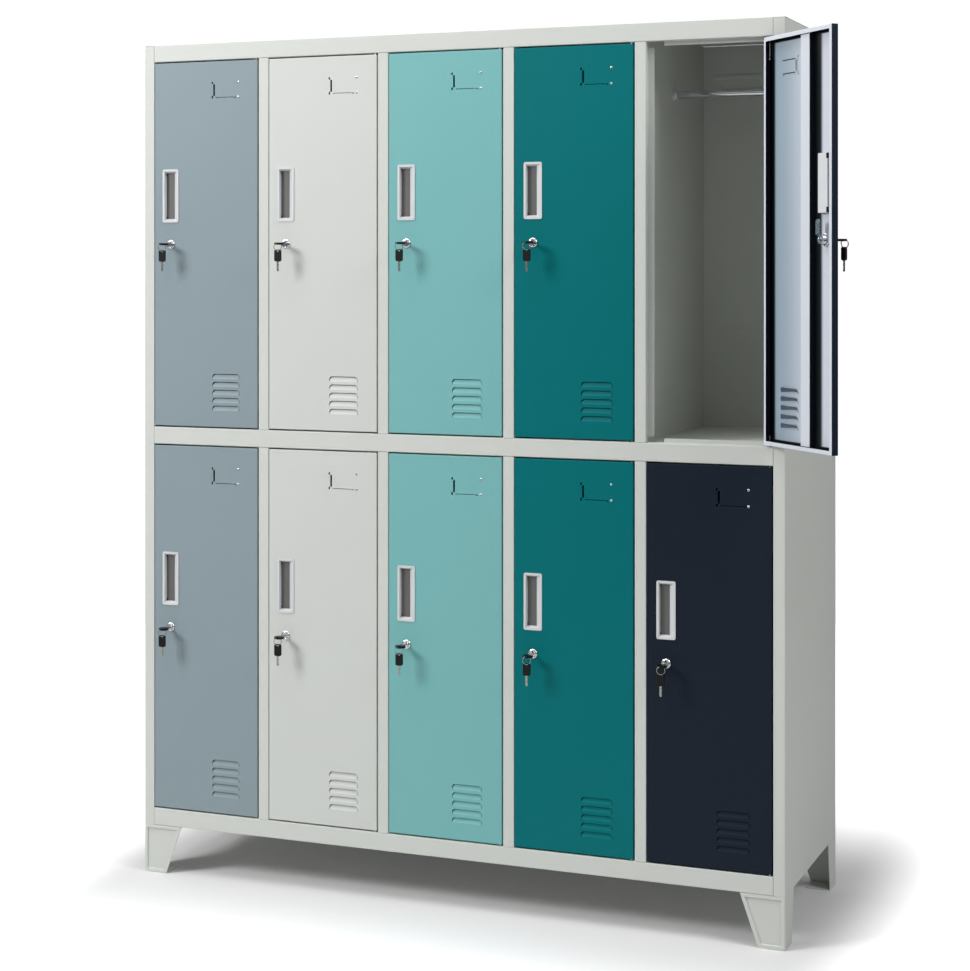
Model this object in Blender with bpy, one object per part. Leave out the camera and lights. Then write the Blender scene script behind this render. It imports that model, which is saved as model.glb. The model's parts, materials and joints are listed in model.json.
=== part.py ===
"""Ten-door steel school locker: five columns by two tiers, on four folded feet.

Units are metres. +X runs along the front from left to right, +Y from the front to the
back, +Z up from the floor. The top right door stands open; every other door is shut.
The origin is the middle of the whole model's footprint, on the floor.
"""

import math

import bmesh
import bpy
from mathutils import Matrix, Vector

# ---- driving dimensions -------------------------------------------------------------
BODY_WIDTH = 1.380
BODY_DEPTH = 0.450
FOOT_HEIGHT = 0.100
COLUMNS = 5
TIERS = 2
POST = 0.023
RAIL = 0.036
OPENING_HEIGHT = 0.770
SHEET = 0.0008
GAP = 0.0003
TUCK = 0.0001

# Door leaf, folded as a shallow tray with a lip on its back.
LEAF_THICK = 0.014
LEAF_LIP = 0.008
FREE_GAP = 0.0015
HINGE_GAP = 0.0028
END_GAP = 0.003
PIN_EDGE = 0.004
PIN_DEPTH = 0.0028
PIN_RADIUS = 0.0016
PIN_HOLE_RADIUS = 0.0023
PIN_REACH = 0.009
OPEN_ANGLE = math.radians(133)

# Furniture on the leaf, measured from its free edge and its top edge.
HANDLE_INSET = 0.0385
HANDLE_DROP = 0.280
HANDLE_WIDTH = 0.038
HANDLE_HEIGHT = 0.112
HANDLE_DEPTH = 0.009
HANDLE_RIM = 0.002
LOCK_DROP = 0.382
LOCK_HEAD_RADIUS = 0.0095
LOCK_BODY_RADIUS = 0.008
LOCK_LENGTH = 0.013
PLUG_RADIUS = 0.0056
CAM_LENGTH = 0.037
CAM_WIDTH = 0.014
CAM_THICK = 0.0015
CAM_PLANE = 0.018
KEY_REACH = 0.040
KEY_BOW_RADIUS = 0.011
KEY_THICK = 0.0044
STIFFENER_INSET = 0.146
STIFFENER_WIDTH = 0.032
STIFFENER_DEPTH = 0.010
LABEL_INSET = 0.074
LABEL_DROP = 0.060
LABEL_WIDTH = 0.066
LABEL_HEIGHT = 0.035
LOUVRE_COUNT = 5
LOUVRE_PITCH = 0.0166
LOUVRE_WIDTH = 0.064
LOUVRE_HEIGHT = 0.006
LOUVRE_RISE = 0.0395

# Cabinet folds.
POST_RETURN = 0.016
STOP_WIDTH = 0.012
STOP_LIP = 0.008
STOP_LIP_INSET = 0.032
RAIL_RETURN = 0.016
BASE_RETURN = 0.060
BACK_RETURN = 0.015
ROD_RADIUS = 0.0075
ROD_DROP = 0.085

# Foot: a folded corner with two tapered faces, a top plate and a sole.
FOOT_FRONT_TOP = 0.087
FOOT_SIDE_TOP = 0.070
FOOT_SOLE = 0.052
FOOT_SHEET = 0.002

# ---- derived sizes --------------------------------------------------------------------
PITCH = (BODY_WIDTH - POST) / COLUMNS
OPENING_WIDTH = PITCH - POST
LEAF_WIDTH = OPENING_WIDTH - FREE_GAP - HINGE_GAP
LEAF_HEIGHT = OPENING_HEIGHT - 2 * END_GAP
LEFT = -BODY_WIDTH / 2
RIGHT = BODY_WIDTH / 2
FRONT = -BODY_DEPTH / 2
BACK = BODY_DEPTH / 2
BASE = FOOT_HEIGHT
LOWER_SILL = BASE + RAIL
LOWER_HEAD = LOWER_SILL + OPENING_HEIGHT
UPPER_SILL = LOWER_HEAD + RAIL
UPPER_HEAD = UPPER_SILL + OPENING_HEIGHT
ROOF = UPPER_HEAD + RAIL
TIER_NAMES = ("lower", "upper")
SILLS = (LOWER_SILL, UPPER_SILL)
BACK_INNER = BACK - 2 * SHEET - 2 * GAP
RAIL_LEFT, RAIL_RIGHT = LEFT + POST + GAP, RIGHT - POST - GAP
PANEL_LEFT, PANEL_RIGHT = LEFT + SHEET + GAP, RIGHT - SHEET - GAP
LOCK_X = PIN_EDGE - LEAF_WIDTH + HANDLE_INSET
LOCK_Z = LEAF_HEIGHT - LOCK_DROP
OPEN_DOOR = (1, COLUMNS - 1)
DOOR_COLOURS = ((0.29, 0.36, 0.43), (0.72, 0.73, 0.71), (0.20, 0.56, 0.55),
                (0.01, 0.19, 0.20), (0.014, 0.022, 0.033))


def column_left(column):
    """Left edge of a column's door opening."""
    return LEFT + POST + column * PITCH


def web_x(index):
    """Middle of the partition web to the left of column index."""
    return LEFT + index * PITCH + POST / 2


# ---- modelling helpers ------------------------------------------------------------------
def clear_scene():
    for obj in list(bpy.data.objects):
        bpy.data.objects.remove(obj, do_unlink=True)


def material(name, colour, metallic, roughness):
    made = bpy.data.materials.new(name)
    made.use_nodes = True
    shader = made.node_tree.nodes["Principled BSDF"]
    shader.inputs["Base Color"].default_value = (*colour, 1)
    shader.inputs["Metallic"].default_value = metallic
    shader.inputs["Roughness"].default_value = roughness
    return made


def block(low, high):
    """Mesh of a box between two corners."""
    bm = bmesh.new()
    size = Vector(high) - Vector(low)
    centre = (Vector(high) + Vector(low)) / 2
    bmesh.ops.create_cube(bm, size=1, matrix=Matrix.Translation(centre) @ Matrix.Diagonal((*size, 1)))
    return finished(bm)


def extruded(outline, axis, low, high):
    """Mesh of a folded section drawn as a closed outline, (x, y) along Z or (y, z) along X."""
    bm = bmesh.new()
    if axis == "Z":
        ring = [bm.verts.new((x, y, low)) for x, y in outline]
        along = Vector((0, 0, high - low))
    else:
        ring = [bm.verts.new((low, y, z)) for y, z in outline]
        along = Vector((high - low, 0, 0))
    face = bm.faces.new(ring)
    made = bmesh.ops.extrude_face_region(bm, geom=[face], use_keep_orig=True)["geom"]
    bmesh.ops.translate(bm, vec=along, verts=[item for item in made if isinstance(item, bmesh.types.BMVert)])
    return finished(bm)


def cylinder(radius, start, end, sides=16):
    """Mesh of a round bar between two points."""
    bm = bmesh.new()
    along = Vector(end) - Vector(start)
    turn = along.to_track_quat("Z", "Y").to_matrix().to_4x4()
    place = Matrix.Translation((Vector(start) + Vector(end)) / 2) @ turn
    bmesh.ops.create_cone(bm, cap_ends=True, segments=sides, radius1=radius, radius2=radius,
                          depth=along.length, matrix=place)
    return finished(bm)


def finished(bm):
    mesh = bpy.data.meshes.new("shape")
    bmesh.ops.recalc_face_normals(bm, faces=bm.faces)
    bm.to_mesh(mesh)
    bm.free()
    return mesh


def combined(base, added=(), cut=()):
    """One mesh: the base with other meshes united with it, and then others cut from it."""
    main = bpy.data.objects.new("combined", base)
    bpy.context.scene.collection.objects.link(main)
    tools = []
    for meshes, operation in ((added, "UNION"), (cut, "DIFFERENCE")):
        for mesh in meshes:
            tool = bpy.data.objects.new("tool", mesh)
            bpy.context.scene.collection.objects.link(tool)
            tools.append(tool)
            boolean = main.modifiers.new(operation.title(), "BOOLEAN")
            boolean.operation = operation
            boolean.solver = "EXACT"
            boolean.object = tool
    bpy.context.view_layer.update()
    result = bpy.data.meshes.new_from_object(main.evaluated_get(bpy.context.evaluated_depsgraph_get()))
    for obj in (main, *tools):
        bpy.data.objects.remove(obj, do_unlink=True)
    return result


def place(name, mesh, finish, collection, parent, rounded=False):
    """Adds a named part, with its own copy of the mesh's data under its own finish."""
    obj = bpy.data.objects.new(name, mesh.copy())
    obj.data.name = name
    obj.data.materials.clear()
    obj.data.materials.append(finish)
    if rounded:
        obj.data.shade_smooth()
        obj.data.set_sharp_from_angle(angle=math.radians(35))
    obj.parent = parent
    collection.objects.link(obj)
    return obj


def pivot(name, location, turn, parent, collection):
    """An empty on a joint's axis, which carries what turns about it."""
    empty = bpy.data.objects.new(name, None)
    empty.location = location
    empty.rotation_euler = (0, 0, turn)
    empty.empty_display_size = 0.03
    empty.parent = parent
    collection.objects.link(empty)
    return empty


# ---- cabinet ------------------------------------------------------------------------------
def side_panel(sign):
    """Outer sheet folded round the front as a post, and round the back as a flange."""
    def inward(distance):
        return sign * (RIGHT - distance)

    outline = [
        (inward(0), FRONT), (inward(POST), FRONT), (inward(POST), FRONT + POST_RETURN),
        (inward(POST - SHEET), FRONT + POST_RETURN), (inward(POST - SHEET), FRONT + SHEET),
        (inward(SHEET), FRONT + SHEET), (inward(SHEET), BACK - SHEET),
        (inward(BACK_RETURN), BACK - SHEET), (inward(BACK_RETURN), BACK), (inward(0), BACK),
    ]
    strips = [stop_strip(inward(POST), sill) for sill in SILLS] if sign < 0 else []
    return combined(extruded(outline, "Z", BASE, ROOF - SHEET - GAP - TUCK), strips)


def stop_strip(opening_left, sill):
    """Upright strip behind a door's free edge, which the lock's cam hooks behind."""
    clear = STOP_LIP + END_GAP
    return block((opening_left - SHEET / 2, FRONT + POST_RETURN - SHEET + TUCK, sill + clear),
                 (opening_left + STOP_WIDTH, FRONT + POST_RETURN - TUCK, sill + OPENING_HEIGHT - clear))


def partition(index):
    """Full-height web with a folded post on its front in each tier."""
    middle = web_x(index)
    half_post, half_web = POST / 2, SHEET / 2
    half = [
        (half_post, FRONT), (half_post, FRONT + POST_RETURN), (half_post - SHEET, FRONT + POST_RETURN),
        (half_post - SHEET, FRONT + SHEET), (half_web, FRONT + SHEET), (half_web, BACK_INNER),
    ]
    outline = [(middle + x, y) for x, y in half] + [(middle - x, y) for x, y in reversed(half)]
    full = extruded(outline, "Z", LOWER_SILL + GAP, ROOF - SHEET - GAP)
    notch_back = FRONT + POST_RETURN + RAIL_RETURN
    notches = [block((middle - POST, FRONT - POST, low - GAP), (middle + POST, notch_back, high + GAP))
               for low, high in ((LOWER_HEAD, UPPER_SILL), (UPPER_HEAD, ROOF + POST))]
    holes = [cylinder(ROD_RADIUS + GAP, (middle - POST, 0, rod_z(tier)), (middle + POST, 0, rod_z(tier)))
             for tier in range(TIERS)]
    strips = [stop_strip(middle + half_post, sill) for sill in SILLS]
    return combined(full, strips, [*notches, *holes])


def rod_z(tier):
    return SILLS[tier] + OPENING_HEIGHT - ROD_DROP


def hinge_xy(column):
    """Plan position of a column's hinge axis."""
    return (column_left(column) + OPENING_WIDTH - HINGE_GAP - PIN_EDGE, FRONT + PIN_DEPTH)


def rail_lips(edge, direction):
    """Short strips that a door's top or bottom edge closes against, one for each column."""
    ends = sorted((edge - direction * SHEET / 2, edge + direction * STOP_LIP))
    return [block((column_left(column) + STOP_LIP_INSET, FRONT + RAIL_RETURN - SHEET + TUCK, ends[0]),
                  (column_left(column) + OPENING_WIDTH - STOP_WIDTH, FRONT + RAIL_RETURN - TUCK, ends[1]))
            for column in range(COLUMNS)]


def pin_holes(edge):
    """Cutters for the hinge-pin holes in one rail flange."""
    reach = POST / 4
    return [cylinder(PIN_HOLE_RADIUS, (*hinge_xy(column), edge - reach),
                     (*hinge_xy(column), edge + reach), 12)
            for column in range(COLUMNS)]


def post_notches(low, high):
    """Cutters that clear the side posts out of a deck's front corners."""
    rear = FRONT + POST_RETURN + GAP
    return [block((LEFT - POST, FRONT - POST, low), (RAIL_LEFT, rear, high)),
            block((RAIL_RIGHT, FRONT - POST, low), (RIGHT + POST, rear, high))]


def rail_fold(low, high, left, right):
    """Deck sheet folded down at the front as a rail, with a flange back under it."""
    outline = [
        (BACK_INNER, high), (FRONT, high), (FRONT, low), (FRONT + RAIL_RETURN, low),
        (FRONT + RAIL_RETURN, low + SHEET), (FRONT + SHEET, low + SHEET),
        (FRONT + SHEET, high - SHEET), (BACK_INNER, high - SHEET),
    ]
    return extruded(outline, "X", left, right)


def top_panel():
    """Roof sheet over the side panels, with the top rail folded down between their posts."""
    return combined(rail_fold(UPPER_HEAD, ROOF, LEFT, RIGHT), rail_lips(UPPER_HEAD, -1),
                    [*post_notches(UPPER_HEAD - POST, ROOF - SHEET - TUCK), *pin_holes(UPPER_HEAD)])


def middle_shelf():
    """Floor of the upper tier, slotted from behind for the partitions, with the middle rail."""
    half = SHEET / 2 + GAP
    slots = [block((web_x(index) - half, FRONT + POST_RETURN + RAIL_RETURN - GAP, UPPER_SILL - POST),
                   (web_x(index) + half, BACK, UPPER_SILL + POST))
             for index in range(1, COLUMNS)]
    return combined(rail_fold(LOWER_HEAD, UPPER_SILL, PANEL_LEFT, PANEL_RIGHT),
                    [*rail_lips(UPPER_SILL, 1), *rail_lips(LOWER_HEAD, -1)],
                    [*post_notches(LOWER_HEAD - POST, UPPER_SILL + POST), *slots,
                     *pin_holes(UPPER_SILL - SHEET), *pin_holes(LOWER_HEAD)])


def floor_panel():
    """Bottom tray: floor sheet, bottom rail, rear wall, and flanges that the feet bolt to."""
    sill, inner = LOWER_SILL, BACK_INNER - SHEET
    outline = [
        (BACK_INNER, sill), (FRONT, sill), (FRONT, BASE), (FRONT + BASE_RETURN, BASE),
        (FRONT + BASE_RETURN, BASE + SHEET), (FRONT + SHEET, BASE + SHEET), (FRONT + SHEET, sill - SHEET),
        (inner, sill - SHEET), (inner, BASE + SHEET), (BACK_INNER - BASE_RETURN, BASE + SHEET),
        (BACK_INNER - BASE_RETURN, BASE), (BACK_INNER, BASE),
    ]
    return combined(extruded(outline, "X", PANEL_LEFT, PANEL_RIGHT), rail_lips(sill, 1),
                    [*post_notches(BASE - POST, sill + POST), *pin_holes(sill - SHEET)])


def back_panel():
    outer = BACK - SHEET - GAP
    return block((PANEL_LEFT, outer - SHEET, BASE), (PANEL_RIGHT, outer, ROOF - SHEET - GAP))


def hanging_rod(tier):
    """The five coat rods of one tier, joined end to end through the partitions."""
    return cylinder(ROD_RADIUS, (PANEL_LEFT, 0, rod_z(tier)), (PANEL_RIGHT, 0, rod_z(tier)))


def foot(side, end):
    """Corner foot. side is -1 at the left and 1 at the right, end is -1 in front and 1 behind."""
    bm = bmesh.new()
    bmesh.ops.create_cube(bm, size=1)
    top = BASE - GAP
    for vert in bm.verts:
        upper = vert.co.z > 0
        outward = (vert.co.x > 0) == (side > 0)
        facing = (vert.co.y > 0) == (end > 0)
        reach_x = 0 if outward else (FOOT_FRONT_TOP if upper else FOOT_SOLE)
        reach_y = 0 if facing else (FOOT_SIDE_TOP if upper else FOOT_SOLE)
        vert.co = (side * (RIGHT - reach_x), end * (BACK - reach_y), top if upper else 0)
    hollow_x = sorted((side * (RIGHT - FOOT_SHEET), side * (RIGHT - 2 * FOOT_FRONT_TOP)))
    hollow_y = sorted((end * (BACK - FOOT_SHEET), end * (BACK - 2 * FOOT_FRONT_TOP)))
    hollow = block((hollow_x[0], hollow_y[0], FOOT_SHEET), (hollow_x[1], hollow_y[1], top - FOOT_SHEET))
    return combined(finished(bm), cut=[hollow])


# ---- door, modelled round its hinge axis with its foot at z = 0 --------------------------------
def from_face(depth):
    """Y of a plane at this depth behind the leaf's outer face."""
    return depth - PIN_DEPTH


def leaf_tray():
    """Folded sheet: outer face, four edges and four lips on the back."""
    low = Vector((PIN_EDGE - LEAF_WIDTH, from_face(0), 0))
    high = Vector((PIN_EDGE, from_face(LEAF_THICK), LEAF_HEIGHT))
    bm = bmesh.new()
    middle = Matrix.Translation((low + high) / 2)
    bmesh.ops.create_cube(bm, size=1, matrix=middle @ Matrix.Diagonal((*(high - low), 1)))
    back = [face for face in bm.faces if face.normal.y > 0.9]
    bmesh.ops.inset_individual(bm, faces=back, thickness=LEAF_LIP, use_even_offset=True)
    bmesh.ops.delete(bm, geom=back, context="FACES")
    bmesh.ops.solidify(bm, geom=bm.faces[:], thickness=SHEET)
    return finished(bm)


def stiffener():
    """Meshes of the top-hat channel welded up the leaf's inner face."""
    right = PIN_EDGE - STIFFENER_INSET + STIFFENER_WIDTH / 2
    left = right - STIFFENER_WIDTH
    low, high = LEAF_LIP + SHEET, LEAF_HEIGHT - LEAF_LIP - SHEET
    root, crown = from_face(SHEET / 2), from_face(SHEET + STIFFENER_DEPTH)
    return [
        block((left, crown - SHEET, low), (right, crown, high)),
        block((left, root, low), (left + SHEET, crown, high)),
        block((right - SHEET, root, low), (right, crown, high)),
    ]


def hinge_pins():
    """Pins through the top and bottom folds of the leaf."""
    grip = 2 * PIN_REACH
    return [
        cylinder(PIN_RADIUS, (0, 0, -PIN_REACH), (0, 0, grip), 12),
        cylinder(PIN_RADIUS, (0, 0, LEAF_HEIGHT - grip), (0, 0, LEAF_HEIGHT + PIN_REACH), 12),
    ]


def label_holder():
    """Three raised edges that a name card slides into from above."""
    right = PIN_EDGE - LABEL_INSET + LABEL_WIDTH / 2
    left = right - LABEL_WIDTH
    bottom = LEAF_HEIGHT - LABEL_DROP - LABEL_HEIGHT / 2
    top = bottom + LABEL_HEIGHT
    edge = 2 * SHEET
    out, root = from_face(-SHEET), from_face(SHEET / 2)
    return [
        block((left, out, bottom), (right, root, bottom + edge)),
        block((left, out, bottom), (left + edge, root, top)),
        block((right - edge, out, bottom), (right, root, top)),
    ]


def leaf():
    """Door leaf with its stiffener, hinge pins and card holder, cut for the handle, lock and louvres."""
    half_width = HANDLE_WIDTH / 2 - HANDLE_RIM + GAP
    half_height = HANDLE_HEIGHT / 2 - HANDLE_RIM + GAP
    outside, inside = from_face(-POST), from_face(POST)
    cut = [
        block((LOCK_X - half_width, outside, handle_z() - half_height),
              (LOCK_X + half_width, inside, handle_z() + half_height)),
        cylinder(LOCK_BODY_RADIUS + GAP, (LOCK_X, outside, LOCK_Z), (LOCK_X, inside, LOCK_Z)),
    ]
    louvre_x = PIN_EDGE - LABEL_INSET
    for row in range(LOUVRE_COUNT):
        z = LOUVRE_RISE + row * LOUVRE_PITCH
        cut.append(block((louvre_x - LOUVRE_WIDTH / 2, from_face(-SHEET), z - LOUVRE_HEIGHT / 2),
                         (louvre_x + LOUVRE_WIDTH / 2, from_face(2 * SHEET), z + LOUVRE_HEIGHT / 2)))
    return combined(leaf_tray(), [*stiffener(), *hinge_pins(), *label_holder()], cut)


def handle_z():
    return LEAF_HEIGHT - HANDLE_DROP


def handle_cup():
    """Pressed finger cup: a thin flange on the outer face and a tapered pocket behind it."""
    flange, wall, taper = 0.0012, 0.0012, 0.005
    front, rear = from_face(-GAP - flange), from_face(-GAP)
    half = Vector((HANDLE_WIDTH / 2, 0, HANDLE_HEIGHT / 2))
    centre = Vector((LOCK_X, (front + rear) / 2, handle_z()))
    bm = bmesh.new()
    scale = Matrix.Diagonal((HANDLE_WIDTH, flange, HANDLE_HEIGHT, 1))
    bmesh.ops.create_cube(bm, size=1, matrix=Matrix.Translation(centre) @ scale)

    def sink(facing, rim, depth):
        """Insets the face that looks this way along Y, and sinks it, tapered, to a depth."""
        face = max(bm.faces, key=lambda f: f.normal.y * facing)
        bmesh.ops.inset_individual(bm, faces=[face], thickness=rim, use_even_offset=True)
        made = bmesh.ops.extrude_discrete_faces(bm, faces=[face])["faces"][0]
        shrink_x = 1 - taper / (half.x - rim)
        shrink_z = 1 - taper / (half.z - rim)
        for vert in made.verts:
            vert.co = (centre.x + (vert.co.x - centre.x) * shrink_x, from_face(depth),
                       centre.z + (vert.co.z - centre.z) * shrink_z)

    sink(1, HANDLE_RIM, HANDLE_DEPTH)
    sink(-1, HANDLE_RIM + wall, HANDLE_DEPTH - wall)
    return finished(bm)


def lock_barrel():
    """Turned housing: head on the outer face, body through the leaf, and a fixing nut behind it."""
    bore = PLUG_RADIUS + GAP
    nut = LOCK_BODY_RADIUS + 0.003
    outline = [
        (bore, -0.0033), (LOCK_HEAD_RADIUS, -0.0033), (LOCK_HEAD_RADIUS, -GAP), (LOCK_BODY_RADIUS, -GAP),
        (LOCK_BODY_RADIUS, SHEET + GAP), (nut, SHEET + GAP), (nut, SHEET + 0.005),
        (LOCK_BODY_RADIUS, SHEET + 0.005), (LOCK_BODY_RADIUS, LOCK_LENGTH), (bore, LOCK_LENGTH),
    ]
    bm = bmesh.new()
    ring = [bm.verts.new((LOCK_X + radius, from_face(depth), LOCK_Z)) for radius, depth in outline]
    edges = [bm.edges.new((ring[i], ring[(i + 1) % len(ring)])) for i in range(len(ring))]
    bmesh.ops.spin(bm, geom=[*ring, *edges], cent=(LOCK_X, 0, LOCK_Z), axis=(0, 1, 0),
                   angle=math.tau, steps=16, use_merge=True)
    bmesh.ops.remove_doubles(bm, verts=bm.verts, dist=1e-6)
    return finished(bm)


def key_and_plug():
    """What the key turns: the plug, the cranked cam on its inner end, and the key itself."""
    bend = LOCK_Z + PLUG_RADIUS + 0.004
    reach = LOCK_Z + CAM_LENGTH
    half = CAM_WIDTH / 2
    hub = LOCK_LENGTH + GAP
    start, step, end = from_face(hub), from_face(hub + CAM_THICK), from_face(CAM_PLANE)
    cam = [
        (start, LOCK_Z - half), (step, LOCK_Z - half), (step, bend - CAM_THICK),
        (end + CAM_THICK, bend - CAM_THICK), (end + CAM_THICK, reach), (end, reach), (end, bend), (start, bend),
    ]
    added = [
        extruded(cam, "X", LOCK_X - half, LOCK_X + half),
        block((LOCK_X - 0.004, from_face(-KEY_REACH + KEY_BOW_RADIUS), LOCK_Z - KEY_THICK / 2),
              (LOCK_X + 0.004, from_face(0.002), LOCK_Z + KEY_THICK / 2)),
        cylinder(KEY_BOW_RADIUS, (LOCK_X, from_face(-KEY_REACH + KEY_BOW_RADIUS), LOCK_Z - KEY_THICK / 2),
                 (LOCK_X, from_face(-KEY_REACH + KEY_BOW_RADIUS), LOCK_Z + KEY_THICK / 2)),
    ]
    ring_hole = cylinder(0.002, (LOCK_X, from_face(-KEY_REACH + 0.005), LOCK_Z - POST),
                         (LOCK_X, from_face(-KEY_REACH + 0.005), LOCK_Z + POST), 8)
    plug = cylinder(PLUG_RADIUS, (LOCK_X, from_face(-0.003), LOCK_Z),
                    (LOCK_X, from_face(hub + CAM_THICK / 2), LOCK_Z))
    return combined(plug, added, [ring_hole])


# ---- assembly -------------------------------------------------------------------------------
def build_cabinet(collection, root):
    paint = material("light_grey_powder_coat", (0.62, 0.64, 0.62), 0, 0.45)
    chrome = material("chromed_tube", (0.75, 0.76, 0.78), 1, 0.15)
    sheets = {
        "left_side_panel": side_panel(-1),
        "right_side_panel": side_panel(1),
        "back_panel": back_panel(),
        "top_panel": top_panel(),
        "middle_shelf": middle_shelf(),
        "floor_panel": floor_panel(),
        **{f"partition_{index}": partition(index) for index in range(1, COLUMNS)},
        "front_left_foot": foot(-1, -1),
        "front_right_foot": foot(1, -1),
        "rear_left_foot": foot(-1, 1),
        "rear_right_foot": foot(1, 1),
    }
    for name, mesh in sheets.items():
        place(name, mesh, paint, collection, root)
    for tier, name in enumerate(TIER_NAMES):
        place(f"{name}_hanging_rods", hanging_rod(tier), chrome, collection, root, rounded=True)


def build_doors(collection, root):
    cup_grey = material("handle_cup_plastic", (0.80, 0.81, 0.82), 0, 0.35)
    chrome = material("lock_chrome", (0.78, 0.78, 0.80), 1, 0.18)
    steel = material("key_steel", (0.62, 0.62, 0.64), 1, 0.3)
    meshes = {"leaf": leaf(), "handle": handle_cup(), "lock_barrel": lock_barrel(), "key": key_and_plug()}
    for tier, tier_name in enumerate(TIER_NAMES):
        for column in range(COLUMNS):
            name = f"{tier_name}_door_{column + 1}"
            turn = OPEN_ANGLE if (tier, column) == OPEN_DOOR else 0
            hinge = pivot(f"{name}_hinge", (*hinge_xy(column), SILLS[tier] + END_GAP), turn, root, collection)
            paint = material(f"{name}_powder_coat", DOOR_COLOURS[column], 0, 0.4)
            place(f"{name}_leaf", meshes["leaf"], paint, collection, hinge)
            place(f"{name}_handle", meshes["handle"], cup_grey, collection, hinge)
            place(f"{name}_lock_barrel", meshes["lock_barrel"], chrome, collection, hinge, rounded=True)
            key_axis = pivot(f"{name}_lock_axis", (LOCK_X, 0, LOCK_Z), 0, hinge, collection)
            key = place(f"{name}_key", meshes["key"], steel, collection, key_axis, rounded=True)
            key.data.transform(Matrix.Translation((-LOCK_X, 0, -LOCK_Z)))


def centre_on_floor(collection, root):
    """Moves the model so that the origin is the middle of its footprint, on the floor."""
    bpy.context.view_layer.update()
    corners = [obj.matrix_world @ vert.co for obj in collection.objects if obj.type == "MESH"
               for vert in obj.data.vertices]
    for axis in (0, 1):
        values = [corner[axis] for corner in corners]
        root.location[axis] = -(min(values) + max(values)) / 2
    bpy.context.view_layer.update()


def main():
    clear_scene()
    collection = bpy.data.collections.new("school_locker")
    bpy.context.scene.collection.children.link(collection)
    root = bpy.data.objects.new("cabinet_frame", None)
    collection.objects.link(root)
    build_cabinet(collection, root)
    build_doors(collection, root)
    centre_on_floor(collection, root)


main()
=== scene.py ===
"""School locker: ten steel doors in two tiers on folded feet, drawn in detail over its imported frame.

Lengths are metres. +X runs along the front, +Y to the back, +Z up from the floor.
"""

import json
import math

import bmesh
import bpy
from bpy.props import FloatProperty, FloatVectorProperty, IntProperty, PointerProperty
from mathutils import Matrix, Vector

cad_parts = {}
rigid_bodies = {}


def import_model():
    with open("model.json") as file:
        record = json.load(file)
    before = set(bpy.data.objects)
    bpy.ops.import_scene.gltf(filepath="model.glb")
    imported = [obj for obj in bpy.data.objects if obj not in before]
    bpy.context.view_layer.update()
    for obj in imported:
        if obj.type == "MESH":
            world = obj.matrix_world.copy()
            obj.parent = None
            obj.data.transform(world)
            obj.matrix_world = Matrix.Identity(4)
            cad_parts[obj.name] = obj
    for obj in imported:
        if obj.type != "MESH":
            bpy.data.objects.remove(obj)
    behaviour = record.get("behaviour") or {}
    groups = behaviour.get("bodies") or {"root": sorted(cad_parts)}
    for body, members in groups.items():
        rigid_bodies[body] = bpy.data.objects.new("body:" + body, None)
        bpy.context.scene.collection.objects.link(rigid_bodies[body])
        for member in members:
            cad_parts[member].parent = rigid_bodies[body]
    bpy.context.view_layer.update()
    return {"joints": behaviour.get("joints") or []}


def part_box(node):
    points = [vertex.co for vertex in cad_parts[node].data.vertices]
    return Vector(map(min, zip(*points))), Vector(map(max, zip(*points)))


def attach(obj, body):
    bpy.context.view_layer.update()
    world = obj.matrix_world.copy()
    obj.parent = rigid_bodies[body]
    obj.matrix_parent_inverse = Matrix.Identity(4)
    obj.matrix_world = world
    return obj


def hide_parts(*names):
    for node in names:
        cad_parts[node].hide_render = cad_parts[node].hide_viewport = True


bl_info = {
    "name": "School locker",
    "version": (1, 0, 0),
    "blender": (4, 5, 0),
    "location": "3D View > Sidebar > Locker",
    "description": "Ten-door steel school locker, drawn in detail over its packed frame",
    "category": "Add Mesh",
}

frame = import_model()

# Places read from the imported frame.
LEFT, FRONT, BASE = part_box("left_side_panel")[0]
RIGHT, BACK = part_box("right_side_panel")[1][:2]
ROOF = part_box("top_panel")[1].z
BACK_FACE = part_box("back_panel")
HINGES = {joint["child"]: joint for joint in frame["joints"] if joint["name"].endswith("_hinge")}
COLUMNS = len(HINGES) // 2
MIDDLE = (FRONT + BACK) / 2
END_GAP = 0.003
SILLS = sorted({round(joint["pos_m"][2] - END_GAP, 5) for joint in HINGES.values()})
TIERS = ("lower", "upper")
# Clearance between pieces, the distance within which points count as one, how far a welded strip stays inside
# its flange, the ribs' distances from an opening's sides and top, and the thickness of a key's plastic head.
GAP = 0.0003
NEAR = 0.00002
WELD = 0.00005
RIB_END = 0.012
RIB_DROPS = (0.030, 0.060, 0.560)
KEY_THICK = 0.0044
COLOUR_NAMES = ("blue_grey", "pale_grey", "aqua", "teal", "navy")


def linear(code):
    """Linear colour of an sRGB hex code such as #C8CCC8."""
    values = [int(code[k : k + 2], 16) / 255 for k in (1, 3, 5)]
    return tuple(v / 12.92 if v <= 0.04045 else ((v + 0.055) / 1.055) ** 2.4 for v in values)


def length(default, text):
    return FloatProperty(description=text, default=default, min=0, precision=5, unit="LENGTH")


def colour(code, text):
    return FloatVectorProperty(description=text, default=linear(code), subtype="COLOR", size=3, min=0, max=1)


def titled(group):
    """Names each setting of a group after its attribute."""
    for name, setting in group.__annotations__.items():
        setting.keywords["name"] = name.replace("_", " ").capitalize()
    return group


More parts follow.
